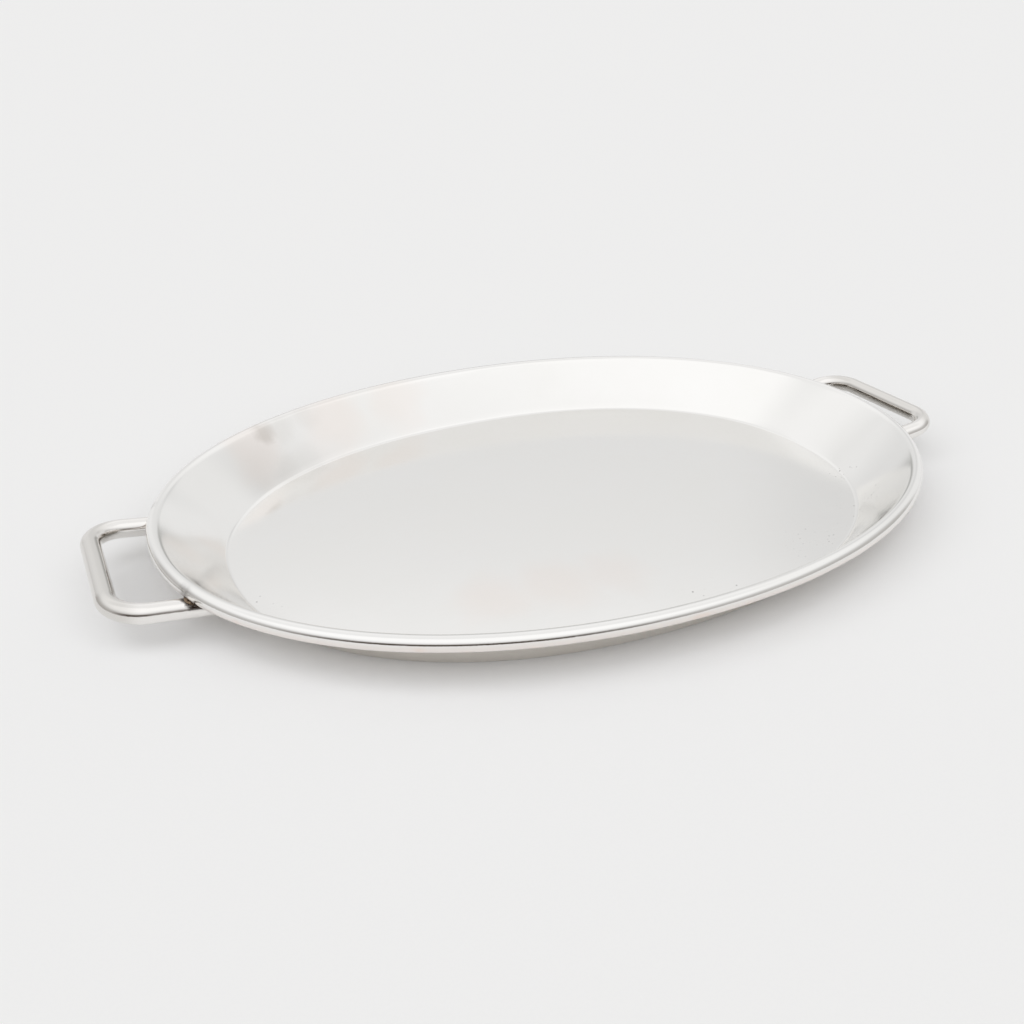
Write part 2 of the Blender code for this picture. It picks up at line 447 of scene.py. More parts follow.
def finish_piece(
    bm: bmesh.types.BMesh, name: str, material: bpy.types.Material, crease: float = 40.0
) -> bpy.types.Object:
    """Turns a bmesh to a smooth shaded object at the origin, dressed and riding on the tray.

    Args:
        bm: The shape, in place. It is freed.
        name: The piece's name.
        material: Its finish.
        crease: Edges sharper than this stay sharp, in degrees.

    Returns:
        The object.
    """
    mesh = bpy.data.meshes.new(name)
    bm.to_mesh(mesh)
    bm.free()
    mesh.materials.append(material)
    mesh.shade_smooth()
    mesh.set_sharp_from_angle(angle=math.radians(crease))
    piece = add_object(name, mesh)
    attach(piece, BODY)
    return piece


def paint(piece: bpy.types.Object, marks: dict[Mark, list[float]]) -> None:
    """Stores how much of each mark each vertex of a piece has.

    Args:
        piece: The piece.
        marks: One number for each vertex, for each kind of mark, painted shade and reflection among
            them; a kind left out is none.
    """
    none = [0.0] * len(piece.data.vertices)
    for mark in Mark:
        layer = piece.data.attributes.new(mark.value, "FLOAT", "POINT")
        layer.data.foreach_set("value", marks.get(mark, none))


def ripple(point: Vector, wavelength_mm: float, seed: float = 0.0) -> float:
    """Smooth noise at a point, from -1 to 1, with swells of this wavelength."""
    return noise.noise(point / (wavelength_mm * MM) + Vector((seed, seed, seed)))


def smoothstep(low: float, high: float, value: float) -> float:
    """0 at low to 1 at high, with a smooth start and end."""
    share = min(max((value - low) / (high - low), 0.0), 1.0)
    return share * share * (3 - 2 * share)


def turning_point(turned: Callable[[float], bool], low: float, high: float) -> float:
    """Finds where a test turns true, by halving.

    Args:
        turned: The test, false at low and true at high.
        low: The range's start.
        high: The range's end.

    Returns:
        The first value that passes.
    """
    for _ in range(HALVINGS):
        middle = (low + high) / 2
        low, high = (low, middle) if turned(middle) else (middle, high)
    return high


@dataclass(frozen=True)
class Swell:
    """One size of the unevenness that hand work leaves on a surface, in millimetres."""

    height: float
    length: float
    seed: float = 0.0
    lift: float = 0.0

    def at(self, point: Vector, seed: float = 0.0) -> float:
        """How far it moves the surface at a point, along the normal."""
        return self.lift + self.height * ripple(point, self.length, self.seed + seed)


def roughen(bm: bmesh.types.BMesh, swells: tuple[Swell, ...], seed: float) -> None:
    """Moves a surface along its normals by its swells.

    Args:
        bm: The surface.
        swells: What hand work left on it.
        seed: Moves the swells, so that no two pieces are the same.
    """
    bm.normal_update()
    for vertex in bm.verts:
        move = sum(swell.at(vertex.co, seed) for swell in swells)
        vertex.co += vertex.normal * move * MM


def compass(azimuth: float, elevation: float = 0.0) -> Vector:
    """The direction at an angle from -Y towards +X and a height over the table, in degrees."""
    turn, tip = math.radians(azimuth), math.radians(elevation)
    return Vector((math.sin(turn) * math.cos(tip), -math.cos(turn) * math.cos(tip), math.sin(tip)))


# ---------------------------------------------------------------- the oval
@dataclass(frozen=True)
class Oval:
    """A closed outline in plan between an ellipse and a rectangle."""

    half_length: float
    half_width: float
    squareness: float

    def point(self, angle: float) -> Vector:
        """Finds a point of the outline.

        Args:
            angle: The point's angle as on an ellipse, in radians.

        Returns:
            The point.
        """
        power = 2 / self.squareness
        east, north = math.cos(angle), math.sin(angle)
        return Vector((
            self.half_length * math.copysign(abs(east) ** power, east),
            self.half_width * math.copysign(abs(north) ** power, north),
            0.0,
        ))

    def normal(self, point: Vector) -> Vector:
        """Finds the outward normal at one of the outline's points.

        Args:
            point: The point.

        Returns:
            The normal.
        """
        power = self.squareness - 1
        east = math.copysign(abs(point.x / self.half_length) ** power, point.x)
        north = math.copysign(abs(point.y / self.half_width) ** power, point.y)
        return Vector((east / self.half_length, north / self.half_width, 0.0)).normalized()

    def excess(self, point: Vector) -> float:
        """Says which side of the outline a point is on.

        Args:
            point: The point.

        Returns:
            Below 0 inside and above 0 outside.
        """
        east = abs(point.x / self.half_length) ** self.squareness
        north = abs(point.y / self.half_width) ** self.squareness
        return east + north - 1


@dataclass(frozen=True)
class Station:
    """One upright cut through wall and rim."""

    middle: Vector
    out: Vector
    run: float
    slope: float

    def at(self, out: float, up: float) -> Vector:
        """The point this far outwards and upwards of the roll's middle."""
        return self.middle + out * self.out + Vector((0, 0, up))

    def on_roll(self, radius: float, turned: float) -> Vector:
        """A point round the roll's middle, turned outwards from where the wall meets the roll."""
        angle = math.pi / 2 + self.slope - turned
        return self.at(radius * math.cos(angle), radius * math.sin(angle))

    def wall_normal(self) -> Vector:
        """The normal of the wall's underside."""
        return math.sin(self.slope) * self.out - Vector((0, 0, math.cos(self.slope)))


# ---------------------------------------------------------------- the dish
@dataclass(frozen=True)
class MarkedPatch:
    """A soft-edged round patch on the dish, in millimetres from the tray's middle: pitting, blush, a
    smudge, and painted reflections.
    """

    x: float
    y: float
    z: float
    radius: float
    strength: float

    def at(self, point: Vector) -> float:
        """How strongly a point is marked, 0 to 1."""
        off = (point / MM - Vector((self.x, self.y, self.z))).length / self.radius
        ragged = 1 + 0.35 * ripple(point, self.radius * 0.5, self.x)
        return self.strength * smoothstep(1.0, 0.25, off * ragged)


MARKED_PATCHES = {
    Mark.PITTING: (
        MarkedPatch(22, -142, 1, 13, 1.0),
        MarkedPatch(50, -139, 1, 13, 0.8),
        MarkedPatch(218, -51, 4, 16, 0.9),
        MarkedPatch(191, -101, 8, 24, 0.5),
        MarkedPatch(130, -122, 1, 40, 0.25),
        MarkedPatch(-217, -33, 1, 18, 0.4),
    ),
    Mark.SMEAR: (
        # A smudge, then painted reflections of the room: darker grey patches on the back-left wall,
        # under the rim and near the floor.
        MarkedPatch(-164, 145, 32, 12, 0.55),
        MarkedPatch(-150, 152, 32, 18, 0.16),
        MarkedPatch(-131, 161, 33, 16, 0.12),
        MarkedPatch(-152, 129, 6, 18, 0.14),
        MarkedPatch(-134, 139, 6, 18, 0.14),
    ),
    Mark.BLUSH: (
        MarkedPatch(-90, -87, 1, 36, 0.22),
        MarkedPatch(-50, -90, 1, 38, 0.22),
        MarkedPatch(-12, -94, 1, 32, 0.18),
        MarkedPatch(-174, 132, 27, 36, 0.26),
        MarkedPatch(-106, 164, 26, 38, 0.26),
        MarkedPatch(-50, 177, 27, 34, 0.20),
    ),
}


@dataclass
class Dish:
    """Floor, flared wall and rolled rim, raised from one sheet."""

    low: Vector
    high: Vector
    roll_radius: float = 4.75 * MM
    sheet: float = 1.2 * MM
    fillet: float = 4.0 * MM
    end_flare: float = 40.0 * MM
    side_flare: float = 29.0 * MM
    rim_squareness: float = 2.07
    floor_squareness: float = 2.17
    curl_gap: float = 0.5 * MM
    leg_spacing: float = 105.6 * MM
    shoulder_depth: float = 0.03 * MM
    shoulder_width: float = 1.6 * MM
    floor_swells: tuple[Swell, ...] = (Swell(0.08, 85, lift=0.08),)
    wall_swells: tuple[Swell, ...] = (Swell(0.14, 60, 3.0), Swell(0.05, 22, 5.0))
    roll_swells: tuple[Swell, ...] = (Swell(-0.07, 21, 7.0, lift=-0.07),)
    shoulder_swell: Swell = Swell(0.4, 45, 9.0, lift=0.6)
    # Marks on the dish: blush and smudges, a painted reflection darker and warmer on the roll's lower
    # outer side, and painted shade round the joints and under the roll. A pair goes from none to all:
    # by share of the turn round the roll, or by distance.
    lower_outer_band: tuple[float, float] = (0.375, 0.5)
    rubbed_smear: float = 0.07
    lower_band_warmth: float = 0.3
    spot_blush: float = 0.4
    spot_mm: float = 8.0
    joint_turn: float = math.radians(162)
    flux_and_shade_band: tuple[float, float] = (9.0 * MM, 3.0 * MM)
    flux_residue: float = 0.55
    under_roll_band: tuple[float, float] = (0.6, 0.8)
    unpolished_residue: float = 0.4
    columns: int = 320
    floor_rings: int = 20
    fillet_rings: int = 8
    wall_rings: int = 20
    roll_rings: int = 40
    flat_pitch: float = 10.0 * MM
    rim: Oval = field(init=False)
    floor: Oval = field(init=False)
    rim_height: float = field(init=False)
    rise: float = field(init=False)
    wall_start: int = field(init=False)
    roll_start: int = field(init=False)

    def __post_init__(self) -> None:
        """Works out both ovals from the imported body's box, and where each part's rings start."""
        half_length = self.high.x - self.roll_radius
        half_width = self.high.y - self.roll_radius
        self.rim = Oval(half_length, half_width, self.rim_squareness)
        self.floor = Oval(
            half_length - self.end_flare, half_width - self.side_flare, self.floor_squareness
        )
        self.rim_height = self.high.z - self.roll_radius
        self.rise = self.rim_height - self.sheet - self.low.z
        self.wall_start = self.floor_rings + self.fillet_rings
        self.roll_start = self.wall_start + self.wall_rings

    def station(self, angle: float) -> Station:
        """Works out a cut through the wall.

        Args:
            angle: Where on the rim's oval, in radians.

        Returns:
            The cut, square to the rim.
        """
        middle = self.rim.point(angle)
        out = self.rim.normal(middle)
        run = turning_point(
            lambda inwards: self.floor.excess(middle - inwards * out) <= 0, 0.0, self.floor.half_width
        )
        reach = math.hypot(self.rise, run)
        slope = math.atan2(self.rise, run) + math.asin(self.roll_radius / reach)
        middle.z = self.rim_height
        return Station(middle, out, run, slope)

    def station_over(self, y: float) -> Station:
        """The cut at the +X end where the roll passes over this y."""
        angle = turning_point(lambda angle: self.rim.point(angle).y >= y, 0.0, math.pi / 2)
        return self.station(angle)

    def ring_point(self, ring: int, station: Station) -> Vector:
        """Where a ring of the sheet's upper face crosses a station.

        Args:
            ring: 0 in the floor's middle, counting outwards and round the roll.
            station: The cut.

        Returns:
            The point.
        """
        tangent = self.fillet * math.tan(station.slope / 2)
        foot = (-station.run - tangent, -self.rise)
        if ring <= self.floor_rings:
            edge = station.at(*foot)
            share = ring / self.floor_rings
            return Vector((edge.x * share, edge.y * share, edge.z))
        ring -= self.floor_rings
        if ring <= self.fillet_rings:
            turned = station.slope * ring / self.fillet_rings - math.pi / 2
            return station.at(
                foot[0] + self.fillet * math.cos(turned), foot[1] + self.fillet * (1 + math.sin(turned))
            )
        ring -= self.fillet_rings
        if ring < self.wall_rings:
            start = self.ring_point(self.wall_start, station)
            share = 1 - (1 - ring / self.wall_rings) ** 2
            return start.lerp(station.on_roll(self.roll_radius, 0), share)
        ring -= self.wall_rings
        sweep = 2 * math.pi - math.acos(1 - (self.sheet + self.curl_gap) / self.roll_radius)
        return station.on_roll(self.roll_radius, sweep * ring / self.roll_rings)

    def polar_disc(self) -> bmesh.types.BMesh:
        """Spins a flat disc of rings and columns from a chain of edges.

        Returns:
            The disc, with its faces up.
        """
        bm = bmesh.new()
        rings = self.roll_start + self.roll_rings
        chain = [bm.verts.new((self.flat_pitch * ring, 0, 0)) for ring in range(rings + 1)]
        edges = [bm.edges.new(pair) for pair in zip(chain, chain[1:])]
        bmesh.ops.spin(
            bm,
            geom=chain + edges,
            cent=(0, 0, 0),
            axis=(0, 0, 1),
            angle=2 * math.pi,
            steps=self.columns,
            use_merge=True,
        )
        bmesh.ops.remove_doubles(bm, verts=bm.verts, dist=WELD)
        bmesh.ops.recalc_face_normals(bm, faces=bm.faces)
        if sum(face.normal.z for face in bm.faces) < 0:
            bmesh.ops.reverse_faces(bm, faces=bm.faces)
        return bm

    def hand_work(self, bm: bmesh.types.BMesh, numbers: list[int]) -> None:
        """Moves the sheet a little, as hammer, rolling and years of use do.

        Args:
            bm: The shaped sheet.
            numbers: The ring of each vertex.
        """
        bm.normal_update()
        for vertex, ring in zip(bm.verts, numbers):
            on_roll = smoothstep(self.roll_start - 4, self.roll_start + 4, ring)
            on_wall = smoothstep(self.floor_rings, self.wall_start + 3, ring) * (1 - on_roll)
            on_floor = 1 - smoothstep(self.floor_rings - 4, self.floor_rings, ring)
            swell = 0.0
            for share, swells in (
                (on_floor, self.floor_swells),
                (on_wall, self.wall_swells),
                (on_roll, self.roll_swells),
            ):
                swell += share * sum(one.at(vertex.co) for one in swells)
            off_shoulder = self.from_shoulder(ring) / self.shoulder_width
            crease = math.exp(-(off_shoulder**2)) * self.shoulder_swell.at(vertex.co)
            vertex.co += vertex.normal * (swell * MM - crease * self.shoulder_depth)

    def from_shoulder(self, ring: int) -> float:
        """Measures along the sheet from the crease between wall and roll.

        Args:
            ring: The ring.

        Returns:
            How far off it is.
        """
        past = ring - self.roll_start
        if past >= 0:
            return past * 2 * math.pi * self.roll_radius / self.roll_rings
        return (past / self.wall_rings) ** 2 * self.end_flare

    def build(self, material: bpy.types.Material, underside: bpy.types.Material) -> bpy.types.Object:
        """Raises the sheet.

        Args:
            material: The silver plate inside.
            underside: The silver plate underneath, rougher and painted darker and warmer as shade.

        Returns:
            The piece.
        """
        bm = self.polar_disc()
        cuts = [self.station(2 * math.pi * column / self.columns) for column in range(self.columns)]
        numbers = []
        for vertex in bm.verts:
            ring = round(vertex.co.length / self.flat_pitch)
            turn = math.atan2(vertex.co.y, vertex.co.x) / (2 * math.pi)
            numbers.append(ring)
            vertex.co = self.ring_point(ring, cuts[round(turn * self.columns) % self.columns])
        self.hand_work(bm, numbers)
        piece = finish_piece(bm, "dish_sheet", material, crease=60)
        piece.data.materials.append(underside)
        self.dress(piece, numbers)
        shell = piece.modifiers.new("sheet", "SOLIDIFY")
        shell.material_offset = 1
        shell.thickness = self.sheet
        shell.offset = -1
        shell.use_even_offset = True
        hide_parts("tray_body")
        return piece

    def dress(self, piece: bpy.types.Object, numbers: list[int]) -> None:
        """Says where the plate is pitted, smeared, blushed and flux-stained, where a darker, warmer
        reflection is painted on the roll's lower outer side, and where shade is painted round the
        joints and under the roll.

        Args:
            piece: The dish.
            numbers: The ring of each vertex.
        """
        joint = self.station_over(self.leg_spacing / 2).on_roll(self.roll_radius, self.joint_turn)
        marks: dict[Mark, list[float]] = {mark: [] for mark in Mark}
        for vertex, ring in zip(piece.data.vertices, numbers):
            place = vertex.co
            amounts = {
                mark: max(marked.at(place) for marked in places) for mark, places in MARKED_PATCHES.items()
            }
            round_roll = (ring - self.roll_start) / self.roll_rings
            # The roll's lower outer side is painted darker and warmer, as a painted reflection of the
            # shaded table below it, with random warm spots.
            outside = smoothstep(*self.lower_outer_band, round_roll)
            spots = smoothstep(0.25, 0.5, ripple(place, self.spot_mm, 13.0))
            blush = outside * (self.lower_band_warmth + self.spot_blush * spots)
            amounts[Mark.BLUSH] = max(amounts[Mark.BLUSH], blush)
            amounts[Mark.SMEAR] += self.rubbed_smear * outside
            quarter = Vector((abs(place.x), abs(place.y), place.z))
            # Round each joint the roll is painted dark: flux, with painted shade in the gap above the
            # leg.
            by_joint = smoothstep(*self.flux_and_shade_band, (quarter - joint).length)
            # Under the roll, inside the curl: painted shade.
            hidden = smoothstep(*self.under_roll_band, round_roll)
            residue = max(self.flux_residue * by_joint, self.unpolished_residue * hidden)
            amounts[Mark.RESIDUE] = residue
            for mark, amount in amounts.items():
                marks[mark].append(amount)
        paint(piece, marks)


# ---------------------------------------------------------------- the handles
@dataclass
class LoopHandle:
    """One handle: round bar bent to a loop, both legs passing under the roll to the wall."""

    side: Side
    dish: Dish
    low: Vector
    high: Vector
    radius: float = 6.0 * MM
    bend_radius: float = 20.5 * MM
    tilt: float = math.radians(7.5)
    cope: float = 0.55 * MM
    clearance: float = 0.3 * MM
    # The grip is painted darker towards its far end and the bar has a faint blush; flux and painted
    # shade lie on top of each leg, in the dark gap under the roll. A pair goes from none to all: from
    # the far end, off the roll, over the bar's middle.
    dull: float = 0.42
    grip_band: tuple[float, float] = (-16.0 * MM, -5.0 * MM)
    blush: float = 0.12
    flux_and_shade_band: tuple[float, float] = (1.3 * MM, 0.6 * MM)
    flux_and_shade_ragged: float = 0.5 * MM
    flux_and_shade_height: tuple[float, float] = (0.5 * MM, 3.0 * MM)
    swells: tuple[Swell, ...] = (Swell(-0.035, 14, lift=-0.035), Swell(-0.05, 40, 4.0, lift=-0.05))
    facets: int = 64
    bend_steps: int = 24
    row_length: float = 1.5 * MM
    leg_y: float = field(init=False)
    crossing: Station = field(init=False)
    drop: float = field(init=False)
    reach: float = field(init=False)

    def __post_init__(self) -> None:
        """Works out the loop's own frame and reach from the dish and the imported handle's box."""
        self.leg_y = self.dish.leg_spacing / 2
        self.crossing = self.dish.station_over(self.leg_y)
        self.drop = self.dish.roll_radius + self.radius - self.cope
        outside = self.high.x if self.side is Side.RIGHT else -self.low.x
        self.reach = (outside - self.radius - self.crossing.middle.x) / math.cos(self.tilt)

    def matrix(self) -> Matrix:
        """Places the loop on the tray.

        Returns:
            The loop's own frame: X outwards along its legs, from under the roll.
        """
        middle = self.crossing.middle
        turn = 0.0 if self.side is Side.RIGHT else math.pi
        return (
            Matrix.Rotation(turn, 4, "Z")
            @ Matrix.Translation((middle.x, 0, middle.z - self.drop))
            @ Matrix.Rotation(-self.tilt, 4, "Y")
        )

    def own(self, point: Vector, y_sign: int) -> Vector:
        """Takes a point from the tray's frame to the loop's own frame.

        Args:
            point: A point of the tray's +X, +Y quarter.
            y_sign: The leg that it is wanted on.

        Returns:
            The point on that leg.
        """
        flat = Vector((point.x, point.y * y_sign, point.z))
        into = (
            Matrix.Rotation(self.tilt, 4, "Y")
            @ Matrix.Translation((-self.crossing.middle.x, 0, self.drop - self.crossing.middle.z))
        )
        return into @ flat

    def foot_plane(self, y_sign: int) -> tuple[Vector, Vector]:
        """The plane that a leg ends on, just off the wall's underside.

        Args:
            y_sign: Which leg.

        Returns:
            A point of it and its normal, in the loop's own frame.
        """
        off = self.dish.roll_radius - self.dish.sheet - self.clearance
        on_face = self.crossing.middle - off * self.crossing.wall_normal()
        point = self.own(on_face, y_sign)
        return point, self.own(on_face + self.crossing.wall_normal(), y_sign) - point

    def extend(
        self, bm: bmesh.types.BMesh, ring: list[bmesh.types.BMEdge], move: Vector
    ) -> list[bmesh.types.BMEdge]:
        """Draws the bar's open end straight on.

        Args:
            bm: The bar.
            ring: Its end's edges.
            move: How far, and which way.

        Returns:
            The new end's edges.
        """
        rows = max(1, round(move.length / self.row_length))
        for _ in range(rows):
            grown = bmesh.ops.extrude_edge_only(bm, edges=ring)["geom"]
            vertices = [item for item in grown if isinstance(item, bmesh.types.BMVert)]
            ring = [item for item in grown if isinstance(item, bmesh.types.BMEdge)]
            bmesh.ops.translate(bm, verts=vertices, vec=move / rows)
        return ring

    def half_bar(self) -> bmesh.types.BMesh:
        """Draws and bends half the bar. Its leg starts inside the dish and is cut off along the wall.

        Returns:
            The +Y half of the loop in its own frame: leg, bend and half the grip.
        """
        bm = bmesh.new()
        root = -(self.crossing.run * self.crossing.out.x + 2 * self.radius)
        start = Matrix.Translation((root, self.leg_y, 0)) @ Matrix.Rotation(math.pi / 2, 4, "Y")
        bmesh.ops.create_circle(bm, segments=self.facets, radius=self.radius, matrix=start)
        bend_start = self.reach - self.bend_radius
        ring = self.extend(bm, list(bm.edges), Vector((bend_start - root, 0, 0)))
        bent = bmesh.ops.spin(
            bm,
            geom=ring,
            cent=(bend_start, self.leg_y - self.bend_radius, 0),
            axis=(0, 0, 1),
            angle=-math.pi / 2,
            steps=self.bend_steps,
        )["geom_last"]
        ring = [item for item in bent if isinstance(item, bmesh.types.BMEdge)]
        self.extend(bm, ring, Vector((0, self.bend_radius - self.leg_y, 0)))
        point, normal = self.foot_plane(1)
        cut = bmesh.ops.bisect_plane(
            bm,
            geom=bm.verts[:] + bm.edges[:] + bm.faces[:],
            dist=CUT_SNAP,
            plane_co=point,
            plane_no=normal,
            clear_inner=True,
        )["geom_cut"]
        rim = [item for item in cut if isinstance(item, bmesh.types.BMEdge)]
        bmesh.ops.contextual_create(bm, geom=rim)
        return bm

    def clear_roll(self, bm: bmesh.types.BMesh) -> None:
        """Copes the legs: presses them out of the roll that they cross under.

        Args:
            bm: The whole bar, in the loop's own frame.
        """
        keep_off = self.dish.roll_radius + self.clearance
        tangent = Vector((-self.crossing.out.y, self.crossing.out.x, 0))
        for y_sign in (-1, 1):
            middle = self.own(self.crossing.middle, y_sign)
            axis = (self.own(self.crossing.middle + tangent, y_sign) - middle).normalized()
            for vertex in bm.verts:
                if vertex.co.y * y_sign < 0:
                    continue
                off = vertex.co - middle
                off -= off.dot(axis) * axis
                if off.length < keep_off:
                    vertex.co += off.normalized() * (keep_off - off.length)

    def build(self, material: bpy.types.Material) -> bpy.types.Object:
        """Bends and fits the bar.

        Args:
            material: The silver plate.

        Returns:
            The piece.
        """
        bm = self.half_bar()
        bmesh.ops.mirror(bm, geom=bm.verts[:] + bm.edges[:] + bm.faces[:], axis="Y", merge_dist=WELD)
        bmesh.ops.recalc_face_normals(bm, faces=bm.faces)
        self.clear_roll(bm)
        roughen(bm, self.swells, 20.0 * self.side.value)
        marks = {
            # The tops of the legs are painted dark under the roll: painted shade in the gap, with flux.
            Mark.RESIDUE: [self.residue_at(vertex.co) for vertex in bm.verts],
            # The grip is painted darker towards its far end.
            Mark.SMEAR: [self.dull * self.outer_share(vertex.co) for vertex in bm.verts],
            Mark.BLUSH: [self.blush] * len(bm.verts),
        }
        bmesh.ops.transform(bm, matrix=self.matrix(), verts=bm.verts)
        name = "handle_bar_" + self.side.name.lower()
        piece = finish_piece(bm, name, material)
        paint(piece, marks)
        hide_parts("handle_" + self.side.name.lower())
        return piece

    def outer_share(self, place: Vector) -> float:
        """How much of the loop's far end a point of the bar belongs to."""
        return smoothstep(*self.grip_band, place.x - self.reach)

    def residue_at(self, place: Vector) -> float:
        """Says how much flux and painted shade a point of the bar holds: most on top, close under the
        roll, in the dark gap between bar and roll.

        Args:
            place: The point, in the loop's own frame.

        Returns:
            None at 0 to all at 1.
        """
        y_sign = 1 if place.y > 0 else -1
        middle = self.own(self.crossing.middle, y_sign)
        out = self.own(self.crossing.middle + self.crossing.out, y_sign) - middle
        off = (place - middle).dot(out) - self.dish.roll_radius
        ragged = self.flux_and_shade_ragged * ripple(place, 3, 23.0)
        close = smoothstep(*self.flux_and_shade_band, off + ragged)
        return close * smoothstep(*self.flux_and_shade_height, place.z)


# ---------------------------------------------------------------- the brazing
@dataclass
class Brazing:
    """The filler of one leg: a drop between bar and roll, and a fillet round the foot."""

    handle: LoopHandle
    end: End
    drop_length: float = 12.4 * MM
    drop_width: float = 11.6 * MM
    drop_height: float = 3.9 * MM
    drop_lumps: tuple[Swell, ...] = (Swell(-0.225, 3.0, lift=-0.35), Swell(-0.1, 1.1))
    fillet_radius: float = 2.0 * MM
    fillet_lumps: tuple[Swell, ...] = (Swell(0.35, 4.0, lift=-0.3), Swell(0.12, 1.3))
    fillet_facets: int = 20
    fillet_steps: int = 120

    def ending(self) -> str:
        """The ending of the pieces' names."""
        return f"{self.handle.side.name}_{self.end.name}".lower()

    def own_sign(self) -> int:
        """The leg's side in the loop's own frame, which is turned round on the left."""
        return self.end.value * self.handle.side.value

    def drop(self, material: bpy.types.Material) -> bpy.types.Object:
        """The filler that ran in between the bar and the roll.

        Args:
            material: The solder.

        Returns:
            The piece.
        """
        bm = bmesh.new()
        size = Matrix.Diagonal((self.drop_length, self.drop_width, self.drop_height, 1))
        height = self.handle.drop - self.handle.dish.roll_radius
        middle = Matrix.Translation((0, self.handle.leg_y * self.own_sign(), height))
        bmesh.ops.create_icosphere(bm, subdivisions=5, radius=0.5, matrix=middle @ size)
        roughen(bm, self.drop_lumps, 31.0 * self.own_sign() + 7.0 * self.handle.side.value)
        bmesh.ops.transform(bm, matrix=self.handle.matrix(), verts=bm.verts)
        piece = finish_piece(bm, "solder_drop_" + self.ending(), material)
        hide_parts("rim_braze_" + self.ending())
        return piece

    def fillet(self, material: bpy.types.Material) -> bpy.types.Object:
        """The filler round the foot of the leg.

        Args:
            material: The solder.

        Returns:
            The piece.
        """
        handle = self.handle
        point, normal = handle.foot_plane(self.own_sign())
        bm = bmesh.new()
        start = Matrix.Translation((handle.radius, 0, 0)) @ Matrix.Rotation(math.pi / 2, 4, "X")
        bmesh.ops.create_circle(
            bm, segments=self.fillet_facets, radius=self.fillet_radius, matrix=start
        )
        bmesh.ops.spin(
            bm,
            geom=bm.verts[:] + bm.edges[:],
            cent=(0, 0, 0),
            axis=(0, 0, 1),
            angle=2 * math.pi,
            steps=self.fillet_steps,
            use_merge=True,
        )
        bmesh.ops.remove_doubles(bm, verts=bm.verts, dist=WELD)
        bmesh.ops.recalc_face_normals(bm, faces=bm.faces)
        roughen(bm, self.fillet_lumps, 17.0 * self.own_sign() + 5.0 * handle.side.value)
        # The ring stands square to the bar; each point then slides along the bar to the wall.
        for vertex in bm.verts:
            across = vertex.co.y + handle.leg_y * self.own_sign()
            up = vertex.co.x
            line = Vector((0, across, up))
            along = normal.dot(point - line) / normal.x
            vertex.co = Vector((along + vertex.co.z, across, up))
        bmesh.ops.recalc_face_normals(bm, faces=bm.faces)
        bmesh.ops.transform(bm, matrix=handle.matrix(), verts=bm.verts)
        piece = finish_piece(bm, "solder_fillet_" + self.ending(), material)
        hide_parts("foot_braze_" + self.ending())
        return piece


# ---------------------------------------------------------------- the studio
@dataclass(frozen=True)
class Panel:
    """A soft-edged patch of the studio, as the tray sees it, by compass and height in degrees."""

    name: str
    azimuth: float
    half_angle: float
    bottom: float
    top: float
    colour: str
    softness: tuple[float, float] = (10.0, 10.0)


